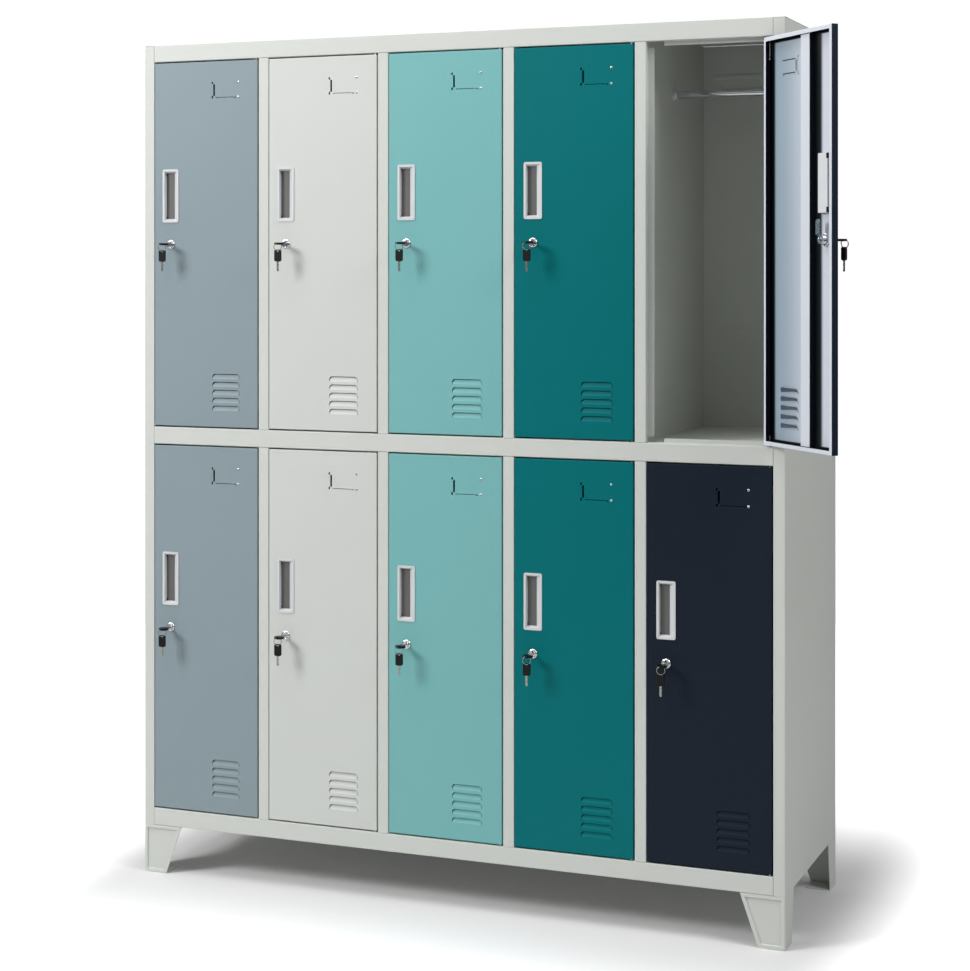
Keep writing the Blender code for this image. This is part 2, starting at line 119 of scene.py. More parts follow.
@titled
class CabinetSizes(bpy.types.PropertyGroup):
    """Sizes of the folded cabinet."""

    sheet: length(0.0008, "Thickness of the cabinet's steel")
    bend: length(0.0018, "Outer radius of a fold")
    post: length(0.023, "Width of an upright between doors")
    rail: length(0.036, "Height of a rail between tiers")
    opening: length(0.770, "Height of a door opening")
    post_return: length(0.016, "Depth of an upright's fold")
    rail_return: length(0.016, "Depth of a rail's fold")
    base_return: length(0.060, "Flange under the bottom tray")
    back_return: length(0.015, "Rear flange of a side panel")
    stop: length(0.012, "Width of the strip that a lock's cam hooks behind")
    lip: length(0.008, "Height of the lips that a door closes against")
    lip_inset: length(0.032, "Distance of a stop lip from the opening's left edge")
    rib: length(0.012, "Width of a stiffening rib pressed in the back")
    rib_depth: length(0.0022, "Height of a stiffening rib")
    rod_radius: length(0.0075, "Radius of a hanging rod")
    rod_drop: length(0.085, "Distance of a rod below the opening's top")
    socket_radius: length(0.0125, "Radius of a rod's end socket")
    foot_front: length(0.087, "Width of a foot at its top, along the front")
    foot_side: length(0.070, "Depth of a foot at its top, along the side")
    foot_sole: length(0.052, "Side of the square sole")
    foot_sheet: length(0.002, "Thickness of a foot's steel")
    foot_rim: length(0.0065, "Width of the raised border on a foot's face")
    foot_panel: length(0.0030, "Depth that a foot's face is pressed in")


@titled
class DoorSizes(bpy.types.PropertyGroup):
    """Sizes of a door and what is fixed to it. X and heights are measured from the hinge's foot."""

    width: length(0.2441, "Width of the leaf")
    height: length(0.764, "Height of the leaf")
    depth: length(0.014, "Depth of the folded leaf")
    lip: length(0.008, "Width of the lips on the back")
    sheet: length(0.0008, "Thickness of the leaf's steel")
    bend: length(0.0014, "Outer radius of the leaf's folds")
    pin_edge: length(0.004, "Distance of the hinge pin from the leaf's edge")
    pin_depth: length(0.0028, "Distance of the hinge pin behind the outer face")
    lock_inset: length(0.0385, "Distance of lock and handle from the free edge")
    handle_drop: length(0.280, "Handle's middle below the leaf's top")
    handle_width: length(0.038, "Width of the finger cup")
    handle_height: length(0.112, "Height of the finger cup")
    handle_rim: length(0.0045, "Width of the finger cup's border")
    handle_depth: length(0.009, "Depth of the finger cup")
    lock_drop: length(0.382, "Lock's middle below the leaf's top")
    lock_radius: length(0.0095, "Radius of the lock's head")
    key_reach: length(0.040, "How far a key in the lock stands out")
    card_inset: length(0.074, "Card holder's middle from the hinge edge")
    card_drop: length(0.060, "Card holder's middle below the leaf's top")
    card_width: length(0.059, "Width of the card holder")
    card_height: length(0.031, "Height of the card holder")
    stiffener_inset: length(0.146, "Stiffener's middle from the hinge edge")
    stiffener_width: length(0.032, "Width of the channel up the back")
    stiffener_depth: length(0.010, "Height of the channel")
    louvre_count: IntProperty(description="Number of louvres in a door", default=5, min=1)
    louvre_pitch: length(0.0166, "Distance from louvre to louvre")
    louvre_width: length(0.064, "Width of a louvre")
    louvre_height: length(0.0105, "Height of a louvre")
    louvre_rise: length(0.0395, "Middle of the lowest louvre above the leaf's foot")
    louvre_depth: length(0.0034, "How far a louvre's tongue is pressed in")


@titled
class Finishes(bpy.types.PropertyGroup):
    """Colours of the paints, plastics and metals."""

    cabinet: colour("#D0D3CE", "Light grey powder coat")
    blue_grey: colour("#8C9BA1", "First column's powder coat")
    pale_grey: colour("#CFD2CE", "Second column's powder coat")
    aqua: colour("#7BB6B6", "Third column's powder coat")
    teal: colour("#006E72", "Fourth column's powder coat")
    navy: colour("#1A232F", "Fifth column's powder coat")
    inner_near: colour("#93A5B1", "Enamel inside the navy leaf, at its hinge")
    # Painted sheen: the paler enamel towards the navy leaf's free edge.
    inner_far: colour("#CBCFDA", "Enamel inside the navy leaf, at its free edge")
    # Painted highlight on the navy leaf's lips and stiffener crown, inside.
    inner_fold: colour("#D2D6DF", "Enamel on the navy leaf's lips and stiffener")
    # Painted shade, nearly black, beside the hinge fold, the stiffener and the top and bottom lips.
    inner_lee: colour("#05070C", "Thin enamel beside the folds")
    # Painted shade in the creases of the card holder's back.
    inner_crease: colour("#0E141C", "Enamel in the creases of the card holder's back")
    # Painted shade on the tongues behind the louvres.
    inner_pocket: colour("#46566A", "Enamel behind the louvres")
    cup: colour("#D4D6D8", "Finger cup's silver plastic")
    cup_floor: colour("#626160", "Bottom of the finger cup")
    bow: colour("#0A0B0D", "Black plastic of the keys")
    chrome: colour("#D2D5D9", "Bright chromium plate")
    zinc: colour("#B9BDC2", "Bright zinc plate")
    nickel: colour("#B4B2AC", "Nickel silver of keys and rings")


# ---- materials ----
def node(tree, kind, settings=None, links=None):
    """Adds a shader node with its settings, and feeds its inputs from outputs or from nodes' first ones."""
    made = tree.nodes.new("ShaderNode" + kind)
    for name, value in (settings or {}).items():
        if isinstance(name, int) or name in made.inputs:
            made.inputs[name].default_value = value
        else:
            setattr(made, name, value)
    for name, source in (links or {}).items():
        tree.links.new(source.outputs[0] if isinstance(source, bpy.types.Node) else source, made.inputs[name])
    return made


def filled(shader, tree, values):
    """Gives a shader's inputs their values, or the first outputs of the nodes that feed them."""
    for name, value in values.items():
        if isinstance(value, bpy.types.Node):
            tree.links.new(value.outputs[0], shader.inputs[name])
        else:
            shader.inputs[name].default_value = value


def finish(name, base, metallic, roughness, grain, bump, variation, specular=0.5):
    """Material with a fine surface texture and slight variation in tone and gloss.

    grain is the texture's real spacing in metres, bump its height, variation the share that the tone changes.
    """
    made = bpy.data.materials.get(name)
    if made:
        return made
    made = bpy.data.materials.new(name)
    made.use_nodes = True
    tree = made.node_tree
    place = {"Vector": node(tree, "TexCoord").outputs["Object"]}
    fine = {"Value": node(tree, "TexNoise", {"Scale": 1 / grain, "Detail": 3.0, "Roughness": 0.55}, place)}
    broad = {"Value": node(tree, "TexNoise", {"Scale": 6.0, "Detail": 2.0}, place)}
    tone = node(tree, "MapRange", {"To Min": 1 - variation, "To Max": 1 + variation}, broad)
    filled(tree.nodes["Principled BSDF"], tree, {
        "Metallic": metallic, "Specular IOR Level": specular,
        "Base Color": node(tree, "VectorMath", {"operation": "SCALE", 0: base}, {"Scale": tone}),
        "Roughness": node(tree, "MapRange", {"To Min": roughness * 0.85, "To Max": roughness * 1.15}, fine),
        "Normal": node(tree, "Bump", {"Strength": 0.35, "Distance": bump}, {"Height": fine["Value"]})})
    return made


def powder_coat(name, base):
    # Polyester powder coat: baked on, satin, with a fine orange-peel skin. Its real waves are about
    # 1.2 mm apart, drawn at 2.5 mm so that they show.
    return finish(f"{name}_powder_coat", base, 0, 0.42, 0.0025, 0.00012, 0.015, 0.10)


# The plastics and metals, each with its metallic, roughness, texture spacing and height in metres, change of
# tone, and gloss where it isn't the usual one.
LOOKS = {
    # Bright chromium over polished steel: a mirror with a trace of polishing haze 3 mm wide.
    "chrome": ("bright_chrome_plate", 1, 0.10, 0.003, 0.00001, 0.02),
    # Bright zinc plate on pressed steel: softer mirror, mottled at about 2 mm.
    "zinc": ("bright_zinc_plate", 1, 0.27, 0.002, 0.00004, 0.08),
    # Nickel silver key blanks and rings, tumbled: fine scratches about 0.5 mm apart.
    "nickel": ("tumbled_nickel_silver", 1, 0.24, 0.0005, 0.00002, 0.05),
    # Injection-moulded ABS with a silver pigment, spark-eroded texture about 1 mm wide.
    "cup": ("moulded_silver_abs", 0, 0.34, 0.001, 0.00003, 0.01),
    # The same moulding's darker bottom plate, with a coarser matt texture.
    "cup_floor": ("matt_grey_abs", 0, 0.5, 0.0015, 0.00006, 0.03),
    # Black nylon moulded round the key's bow: satin, texture about 1 mm.
    "bow": ("moulded_black_nylon", 0, 0.42, 0.001, 0.00005, 0.05, 0.25),
}


def look(colours, kind):
    """One of the plastics and metals, in its set colour."""
    name, *settings = LOOKS[kind]
    return finish(name, tuple(getattr(colours, kind)), *settings)


def eased(tree, value, low, high, down=False):
    """Mask that eases from 0 to 1 between two values, or from 1 to 0."""
    return node(tree, "MapRange", {"interpolation_type": "SMOOTHSTEP", "From Min": low, "From Max": high,
                                   "To Min": float(down), "To Max": float(not down)}, {"Value": value})


def combined(tree, operation, *masks):
    """One mask from several, by their product or their maximum."""
    result = masks[0]
    for mask in masks[1:]:
        result = node(tree, "Math", {"operation": operation}, {0: result, 1: mask})
    return result


def inner_enamel_with_painted_light(name, door, colours, pose):
    # Polyester enamel sprayed inside the leaf: a lighter, silkier blue grey than the outside, made paler towards
    # the free edge by painted sheen, with a painted highlight on the raised folds, and painted shade, nearly black,
    # in the lee of the hinge fold and of the stiffener. Its coordinates are the door's own, from its hinge.
    made = finish(f"{name}_inner_enamel", tuple(colours.inner_near), 0, 0.3, 0.0025, 0.00008, 0.01, 0.3)
    tree = made.node_tree
    place = node(tree, "TexCoord").outputs["Object"]
    own = node(tree, "Mapping", {"vector_type": "TEXTURE", "Location": pose.translation,
                                 "Rotation": pose.to_euler()}, {"Vector": place})
    split = node(tree, "SeparateXYZ", links={"Vector": own})
    x, y, z = (split.outputs[axis] for axis in "XYZ")
    edge = door.pin_edge - door.stiffener_inset - door.stiffener_width / 2
    sheet_y, top = face(door, door.sheet), door.height - door.lip
    flat = eased(tree, y, sheet_y + 0.0004, sheet_y + 0.0008, down=True)
    beside = combined(tree, "MULTIPLY", eased(tree, x, edge - 0.034, edge - 0.022),
                      eased(tree, x, edge + 0.0002, edge + 0.0006, down=True))
    # Where painted shade goes: beside the hinge fold and the stiffener, and along the top and bottom lips.
    lee = combined(tree, "MAXIMUM", eased(tree, x, -0.022, -0.012), beside,
                   eased(tree, z, door.lip + 0.0035, door.lip + 0.0045, down=True),
                   eased(tree, z, top - 0.0045, top - 0.0035))
    # The louvre tongues inside, which get painted shade.
    pockets = combined(tree, "MULTIPLY", eased(tree, y, sheet_y + 0.0004, sheet_y + 0.0007),
                       eased(tree, y, sheet_y + 0.0036, sheet_y + 0.0042, down=True))
    # The creases pressed for the card holder, which get painted shade.
    creases = eased(tree, y, sheet_y - 0.00022, sheet_y - 0.00012, down=True)
    result = None
    # In turn: painted sheen towards the free edge, painted shade on the louvre tongues, a painted highlight on the
    # folds, and painted shade in the lee of the folds and in the creases.
    for mask, shade in ((eased(tree, x, edge - 0.010, -0.030, down=True), colours.inner_far),
                        (pockets, colours.inner_pocket), (eased(tree, y, 0.0060, 0.0070), colours.inner_fold),
                        (combined(tree, "MULTIPLY", flat, lee), colours.inner_lee),
                        (creases, colours.inner_crease)):
        mixed = node(tree, "Mix", {"data_type": "RGBA", 6: (*colours.inner_near, 1), 7: (*shade, 1)},
                     {"Factor": mask})
        if result:
            tree.links.new(result, mixed.inputs[6])
        result = mixed.outputs[2]
    tree.links.new(result, tree.nodes["Principled BSDF"].inputs["Base Color"])
    return made


# ---- modelling helpers ----
def deselect():
    if bpy.context.mode != "OBJECT":
        bpy.ops.object.mode_set(mode="OBJECT")
    for obj in bpy.context.view_layer.objects:
        obj.select_set(False)


def activate(obj):
    deselect()
    obj.select_set(True)
    bpy.context.view_layer.objects.active = obj


def added(name, operator, **settings):
    """A new primitive, alone selected."""
    deselect()
    operator(**settings)
    obj = bpy.context.active_object
    obj.name = name
    return obj


def settled(obj):
    """Puts an object's place, turn and size into its mesh."""
    activate(obj)
    bpy.ops.object.transform_apply(location=True, rotation=True, scale=True)
    return obj


def pick(obj, test, kind="FACE"):
    """In edit mode, selects the faces, edges or vertices for which the test holds."""
    if bpy.context.mode != "EDIT_MESH":
        activate(obj)
        bpy.ops.object.mode_set(mode="EDIT")
    bpy.ops.mesh.select_mode(type=kind)
    bpy.ops.mesh.select_all(action="DESELECT")
    shape = bmesh.from_edit_mesh(obj.data)
    for item in {"FACE": shape.faces, "EDGE": shape.edges, "VERT": shape.verts}[kind]:
        if test(item):
            item.select_set(True)
    bmesh.update_edit_mesh(obj.data)


def modified(obj, kind, **settings):
    """Adds a modifier and applies it."""
    activate(obj)
    modifier = obj.modifiers.new(kind.title(), kind)
    for name, value in settings.items():
        setattr(modifier, name, value)
    bpy.ops.object.modifier_apply(modifier=modifier.name)
    return obj


def joined(name, pieces):
    deselect()
    for piece in pieces:
        piece.select_set(True)
    bpy.context.view_layer.objects.active = pieces[0]
    bpy.ops.object.join()
    pieces[0].name = name
    return pieces[0]


def walled(obj, thickness):
    """Gives a sheet of faces its wall, inwards from them."""
    return modified(obj, "SOLIDIFY", thickness=thickness, offset=-1, use_even_offset=True)


def softened(obj, width, degrees=50, segments=2):
    """Rounds the edges that turn by more than an angle."""
    return modified(obj, "BEVEL", width=width, segments=segments, limit_method="ANGLE",
                    angle_limit=math.radians(degrees))


def beveled(radius, segments, affect="EDGES"):
    bpy.ops.mesh.bevel(offset=radius, segments=segments, affect=affect)


def cornered(obj, radius, segments=5, test=lambda place: True):
    """Rounds the corners of a flat piece, which are its edges from front to back."""
    def corner(edge):
        start, end = (vert.co for vert in edge.verts)
        return abs(start.y - end.y) > 0.0005 and abs(start.z - end.z) < 0.0002 and test(start)

    pick(obj, corner, "EDGE")
    beveled(radius, segments)


def cut(obj, cutters):
    """Cuts closed shapes, which don't touch each other, out of a piece."""
    cutter = joined("cutter", cutters)
    modified(obj, "BOOLEAN", operation="DIFFERENCE", solver="EXACT", object=cutter)
    bpy.data.objects.remove(cutter, do_unlink=True)
    return obj


def block(name, low, high, bevel=0.0, segments=2):
    """Box between two corners, with rounded edges."""
    low, high = Vector(low), Vector(high)
    obj = added(name, bpy.ops.mesh.primitive_cube_add, size=1, location=(low + high) / 2)
    obj.scale = high - low
    settled(obj)
    if bevel:
        modified(obj, "BEVEL", width=bevel, segments=segments, limit_method="NONE")
    return obj


def round_bar(name, start, end, radius, sides=24, bevel=0.0):
    """Round bar between two points, with softened ends."""
    start, end = Vector(start), Vector(end)
    obj = added(name, bpy.ops.mesh.primitive_cylinder_add, vertices=sides, radius=radius,
                depth=(end - start).length, location=(start + end) / 2)
    obj.rotation_euler = (end - start).to_track_quat("Z", "Y").to_euler()
    settled(obj)
    return softened(obj, bevel) if bevel else obj


def turned_outwards():
    """Points all faces of the piece in edit mode outwards, and leaves that mode."""
    bpy.ops.mesh.select_all(action="SELECT")
    bpy.ops.mesh.normals_make_consistent(inside=False)
    bpy.ops.object.mode_set(mode="OBJECT")


def turned(name, outline, sides=40, centre=(0, 0, 0)):
    """Shape turned about a line along -Y, from (radius, distance out) points, closed at both ends."""
    radius, out = outline[0]
    obj = added(name, bpy.ops.mesh.primitive_circle_add, vertices=sides, radius=radius,
                location=(0, 0, out), fill_type="NGON")
    settled(obj)
    pick(obj, lambda item: True)
    for wider, further in outline[1:]:
        bpy.ops.mesh.extrude_region_move(TRANSFORM_OT_translate={"value": (0, 0, further - out)})
        scale = wider / radius
        bpy.ops.transform.resize(value=(scale, scale, 1), center_override=(0, 0, further))
        radius, out = wider, further
    turned_outwards()
    obj.rotation_euler = (math.pi / 2, 0, 0)
    obj.location = centre
    return settled(obj)


def folded(name, path, axis, low, high, bend, sheet):
    """Sheet that follows a path of folds, drawn in plan along Z or in section along X.

    The path's right-hand side is the outside, and the wall goes inwards from it.
    """
    flat = (0, 1) if axis == "Z" else (1, 2)

    def corner(point, along):
        return Vector((*point, along)) if axis == "Z" else Vector((along, *point))

    def on(vert, point):
        return all(abs(vert.co[k] - value) < NEAR for k, value in zip(flat, point))

    obj = added(name, bpy.ops.mesh.primitive_plane_add, size=1)
    places = [corner(point, along) for along in (low, high) for point in path[:2]]
    for vert, place in zip(obj.data.vertices, places):
        vert.co = place
    for before, after in zip(path[1:], path[2:]):
        pick(obj, lambda edge: all(on(vert, before) for vert in edge.verts), "EDGE")
        step = corner(after, 0) - corner(before, 0)
        bpy.ops.mesh.extrude_edges_move(TRANSFORM_OT_translate={"value": step})
    if bend and len(path) > 2:
        pick(obj, lambda edge: any(all(on(vert, fold) for vert in edge.verts) for fold in path[1:-1]), "EDGE")
        beveled(bend, 3)
    return walled(obj, sheet)


def painted(obj, *materials):
    """Gives a piece its only materials, the first for every face."""
    obj.data.materials.clear()
    for material in materials:
        obj.data.materials.append(material)
    return obj


def kept(obj, name, body, nodes, smooth=35):
    """Finishes a piece: its name, shading and body, and hides the CAD nodes that it stands for."""
    obj.name = name
    obj.data.name = name
    activate(obj)
    bpy.ops.object.shade_smooth_by_angle(angle=math.radians(smooth))
    modified(obj, "WEIGHTED_NORMAL", mode="FACE_AREA", keep_sharp=True)
    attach(obj, body)
    if nodes:
        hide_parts(*nodes)
    return obj


class Drawing:
    """What the operators share: each draws its pieces from the scene's settings."""

    def execute(self, context):
        scene = context.scene
        self.draw_pieces(scene.locker_cabinet, scene.locker_door, scene.locker_finishes)
        return {"FINISHED"}


# ---- places ----
def pitch(cab):
    return (RIGHT - LEFT - cab.post) / COLUMNS


def opening_left(cab, column):
    return LEFT + cab.post + column * pitch(cab)


def opening_right(cab, column):
    return opening_left(cab, column) + pitch(cab) - cab.post


def web_x(cab, index):
    return LEFT + index * pitch(cab) + cab.post / 2


def back_inner(cab):
    return BACK - 2 * cab.sheet - 2 * GAP


def rod_z(cab, tier):
    return SILLS[tier] + cab.opening - cab.rod_drop


# ---- cabinet ----
def stop_strips(cab, left):
    """Upright strips behind the free edges of one column's doors."""
    clear = cab.lip + END_GAP
    rear = FRONT + cab.post_return
    return [block("stop_strip", (left - cab.sheet / 2, rear - cab.sheet, sill + clear),
                  (left + cab.stop, rear - WELD, sill + cab.opening - clear), 0.0003, 1) for sill in SILLS]


def side_panel(cab, side):
    """Outer sheet with its front folded as a post and its back as a flange."""
    outer, inward = (LEFT, 1) if side < 0 else (RIGHT, -1)
    path = [(outer + inward * cab.back_return, BACK), (outer, BACK), (outer, FRONT),
            (outer + inward * cab.post, FRONT), (outer + inward * cab.post, FRONT + cab.post_return)]
    if side > 0:
        path.reverse()
    panel = folded("side_panel", path, "Z", BASE, ROOF - cab.sheet - 2 * GAP, cab.bend, cab.sheet)
    return joined("side_panel", [panel, *stop_strips(cab, LEFT + cab.post)]) if side < 0 else panel


def pin_holes(cab, edge):
    """Cutters for the hinge-pin holes in a rail's flange."""
    places = [joint["pos_m"][:2] for name, joint in HINGES.items() if name.startswith("lower")]
    return [round_bar("hole", (*place, edge - 0.004), (*place, edge + 0.004), 0.0023, 16) for place in places]


def corner_notches(cab, low, high):
    """Cutters that clear the side posts out of a deck's front corners."""
    rear = FRONT + cab.post_return + GAP
    return [block("notch", (LEFT - 0.02, FRONT - 0.02, low), (LEFT + cab.post + GAP, rear, high)),
            block("notch", (RIGHT - cab.post - GAP, FRONT - 0.02, low), (RIGHT + 0.02, rear, high))]


def rail_lips(cab, edge, direction):
    """Short lips that the doors' top or bottom edges close against."""
    low, high = sorted((edge - direction * cab.sheet / 2, edge + direction * cab.lip))
    rear = FRONT + cab.rail_return
    return [block("lip", (opening_left(cab, column) + cab.lip_inset, rear - cab.sheet, low),
                  (opening_right(cab, column) - cab.stop, rear - WELD, high), 0.0003, 1)
            for column in range(COLUMNS)]


def deck(cab, name, path, left, right):
    return folded(name, path, "X", left, right, cab.bend, cab.sheet)


def roof_deck(cab):
    head = ROOF - cab.rail
    path = [(back_inner(cab), ROOF), (FRONT, ROOF), (FRONT, head), (FRONT + cab.rail_return, head)]
    roof = deck(cab, "roof", path, LEFT, RIGHT)
    cut(roof, [*corner_notches(cab, head - 0.02, ROOF - cab.sheet - 0.0001), *pin_holes(cab, head)])
    return joined("roof", [roof, *rail_lips(cab, head, -1)])


def middle_deck(cab):
    head, sill = SILLS[1] - cab.rail, SILLS[1]
    path = [(back_inner(cab), sill), (FRONT, sill), (FRONT, head), (FRONT + cab.rail_return, head)]
    shelf = deck(cab, "shelf", path, LEFT + cab.sheet + GAP, RIGHT - cab.sheet - GAP)
    half, clear = cab.sheet / 2 + GAP, FRONT + cab.post_return + cab.rail_return - GAP
    slots = [block("slot", (web_x(cab, index) - half, clear, sill - 0.02),
                   (web_x(cab, index) + half, BACK, sill + 0.02)) for index in range(1, COLUMNS)]
    notches = corner_notches(cab, head - 0.02, sill + 0.02)
    cut(shelf, [*notches, *slots, *pin_holes(cab, sill), *pin_holes(cab, head)])
    return joined("shelf", [shelf, *rail_lips(cab, sill, 1), *rail_lips(cab, head, -1)])


def floor_deck(cab):
    inner, sill = back_inner(cab), SILLS[0]
    path = [(inner - cab.base_return, BASE), (inner, BASE), (inner, sill), (FRONT, sill), (FRONT, BASE),
            (FRONT + cab.base_return, BASE)]
    tray = deck(cab, "tray", path, LEFT + cab.sheet + GAP, RIGHT - cab.sheet - GAP)
    cut(tray, [*corner_notches(cab, BASE - 0.02, sill + 0.02), *pin_holes(cab, sill)])
    return joined("tray", [tray, *rail_lips(cab, sill, 1)])


def partition(cab, index):
    """Web between two columns, with a folded post on its front edge in each tier."""
    middle, half = web_x(cab, index), cab.post / 2
    clear = FRONT + cab.post_return + cab.rail_return
    web = block("web", (middle - cab.sheet / 2, FRONT + cab.sheet, SILLS[0] + GAP),
                (middle + cab.sheet / 2, back_inner(cab), ROOF - cab.sheet - GAP))
    cutters = [block("notch", (middle - half, FRONT - 0.01, low - GAP), (middle + half, clear, high + GAP))
               for low, high in ((SILLS[1] - cab.rail, SILLS[1]), (ROOF - cab.rail, ROOF + 0.01))]
    cutters += [round_bar("hole", (middle - half, MIDDLE, height), (middle + half, MIDDLE, height),
                          cab.rod_radius + GAP, 32) for height in (rod_z(cab, 0), rod_z(cab, 1))]
    cut(web, cutters)
    path = [(middle - half, FRONT + cab.post_return), (middle - half, FRONT), (middle + half, FRONT),
            (middle + half, FRONT + cab.post_return)]
    posts = [folded("post", path, "Z", sill + GAP, sill + cab.opening - GAP, cab.bend, cab.sheet)
             for sill in SILLS]
    return joined("partition", [web, *posts, *stop_strips(cab, middle + half)])


def pressed_rib(cab, left, right, height, base):
    """Shell of one stiffening rib, open at the back where the sheet is pressed in."""
    half = cab.rib / 2
    rib = block("rib", (left, base - cab.rib_depth, height - half), (right, base, height + half))
    pick(rib, lambda item: item.normal.y < -0.9)
    bpy.ops.transform.resize(value=(0.97, 1, 0.45), center_override=((left + right) / 2, base, height))
    pick(rib, lambda item: item.normal.y > 0.9)
    bpy.ops.mesh.delete(type="FACE")
    return walled(rib, cab.sheet)


def ribbed_back(cab):
    """Back sheet with ribs pressed towards the inside of each compartment, and a small plate by each rod."""
    low, high = BACK_FACE
    raised, grooves = [], []
    for column in range(COLUMNS):
        left, right = opening_left(cab, column) + RIB_END, opening_right(cab, column) - RIB_END
        for tier, sill in enumerate(SILLS):
            for drop in RIB_DROPS:
                height, half = sill + cab.opening - drop, cab.rib / 2 - cab.sheet
                raised.append(pressed_rib(cab, left, right, height, low.y + 0.0001))
                grooves.append(block("groove", (left + cab.sheet, low.y - 0.01, height - half),
                                     (right - cab.sheet, high.y + 0.01, height + half)))
            plate_z = rod_z(cab, tier) + 0.012
            raised.append(block("plate", (left + 0.006, low.y - 0.0034, plate_z),
                                (left + 0.019, low.y + 0.0002, plate_z + 0.024), 0.0008))
    return joined("back", [cut(block("back", low, high), grooves), *raised])


class LOCKER_OT_cabinet(Drawing, bpy.types.Operator):
    """Draw the folded side panels, decks, partitions and ribbed back"""

    bl_idname = "locker.cabinet"
    bl_label = "Cabinet sheets"

    def draw_pieces(self, cab, door, colours):
        paint = powder_coat("light_grey", tuple(colours.cabinet))
        sheets = {"left_side_panel": side_panel(cab, -1), "right_side_panel": side_panel(cab, 1),
                  "top_panel": roof_deck(cab), "middle_shelf": middle_deck(cab),
                  "floor_panel": floor_deck(cab), "back_panel": ribbed_back(cab)}
        sheets |= {f"partition_{index}": partition(cab, index) for index in range(1, COLUMNS)}
        for name, obj in sheets.items():
            kept(painted(obj, paint), f"{name}_sheet", "cabinet", [name])


def foot(cab, side, end):
    """Folded corner foot: two tapered faces with raised borders, a top plate and a sole."""
    corner_x, corner_y = (RIGHT if side > 0 else LEFT), (BACK if end > 0 else FRONT)
    top = BASE - GAP
    shape = block("foot", (-0.5, -0.5, 0), (0.5, 0.5, 1))
    for vert in shape.data.vertices:
        upper = vert.co.z > 0.5
        reach_x = 0 if vert.co.x * side > 0 else (cab.foot_front if upper else cab.foot_sole)
        reach_y = 0 if vert.co.y * end > 0 else (cab.foot_side if upper else cab.foot_sole)
        vert.co = (corner_x - side * reach_x, corner_y - end * reach_y, top if upper else 0)
    shape.data.update()

    pick(shape, lambda item: abs(item.normal.z) < 0.9
         and min(item.normal.x * side, item.normal.y * end) < -0.5)
    bpy.ops.mesh.delete(type="FACE")
    pick(shape, lambda item: item.normal.y * end > 0.9)
    bpy.ops.mesh.inset(thickness=cab.foot_rim)
    bpy.ops.mesh.inset(thickness=cab.foot_panel * 0.4, depth=-cab.foot_panel)
    pick(shape, lambda edge: all(abs(vert.co.x - corner_x) < NEAR and abs(vert.co.y - corner_y) < NEAR
                                 for vert in edge.verts), "EDGE")
    beveled(0.0022, 3)
    return softened(walled(shape, cab.foot_sheet), 0.0005)


class LOCKER_OT_feet(Drawing, bpy.types.Operator):
    """Draw the four folded feet"""

    bl_idname = "locker.feet"
    bl_label = "Feet"

    def draw_pieces(self, cab, door, colours):
        paint = powder_coat("light_grey", tuple(colours.cabinet))
        for end, end_name in ((-1, "front"), (1, "rear")):
            for side, side_name in ((-1, "left"), (1, "right")):
                name = f"{end_name}_{side_name}_foot"
                kept(painted(foot(cab, side, end), paint), f"{name}_fold", "cabinet", [name])


def rod_sockets(cab, height):
    """End sockets of one tier's rods, at both sides of each compartment."""
    outline = [(cab.socket_radius, 0), (cab.socket_radius, 0.0012), (cab.socket_radius - 0.0008, 0.002),
               (0.0098, 0.0026), (0.0096, 0.0075), (0.0088, 0.0082)]
    half = cab.sheet / 2
    walls = [LEFT + half, *(web_x(cab, index) for index in range(1, COLUMNS)), RIGHT - half]
    sockets = []
    for column in range(COLUMNS):
        for wall, inward in ((walls[column], 1), (walls[column + 1], -1)):
            socket = turned("socket", outline, 32)
            socket.rotation_euler = (0, 0, inward * math.pi / 2)
            socket.location = (wall + inward * (half + 0.0002), MIDDLE, height)
            sockets.append(settled(socket))
    return joined("sockets", sockets)


class LOCKER_OT_rods(Drawing, bpy.types.Operator):
    """Draw the chromed hanging rods and their end sockets"""

    bl_idname = "locker.rods"
    bl_label = "Hanging rods"

    def draw_pieces(self, cab, door, colours):
        for tier, name in enumerate(TIERS):
            height = rod_z(cab, tier)
            low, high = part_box(f"{name}_hanging_rods")
            rod = painted(round_bar("rod", (low.x, MIDDLE, height), (high.x, MIDDLE, height),
                                    cab.rod_radius, 40, 0.0008), look(colours, "chrome"))
            sockets = painted(rod_sockets(cab, height), look(colours, "cup"))
            kept(joined("rods", [rod, sockets]), f"{name}_rods_with_sockets", "cabinet",
                 [f"{name}_hanging_rods"])


# ---- door, modelled round its hinge axis with its foot at z = 0 ----
def face(door, depth):
    """Y of a plane at this depth behind the leaf's outer face."""
    return depth - door.pin_depth


def door_pose(door_name):
    """Where a door hangs: at its hinge, turned if it stands open."""
    joint = HINGES[door_name]
    opened = -joint["range_deg"][0] if joint["range_deg"][0] < -90 else 0
    return Matrix.Translation(joint["pos_m"]) @ Matrix.Rotation(math.radians(opened), 4, "Z")


def hung(obj, door_name):
    """Moves a piece from the door's own frame to where that door hangs."""
    obj.data.transform(door_pose(door_name))
    return obj


def copied(obj):
    """A copy with its own mesh."""
    twin = obj.copy()
    twin.data = obj.data.copy()
    bpy.context.scene.collection.objects.link(twin)
    return twin


def fitted(master, piece, smooth, stands_for=(), body=""):
    """Hangs a finished copy of a door's piece on each door, in place of the master."""
    for name in HINGES:
        kept(hung(copied(master), name), f"{name}_{piece}", name + body,
             [f"{name}_{cad_node}" for cad_node in stands_for], smooth)
    bpy.data.objects.remove(master, do_unlink=True)


def placed(obj, door, inset, height):
    """Puts a piece that is modelled round a place on the outer face at its distance from the hinge edge."""
    obj.data.transform(Matrix.Translation((door.pin_edge - inset, face(door, 0), height)))
    return obj


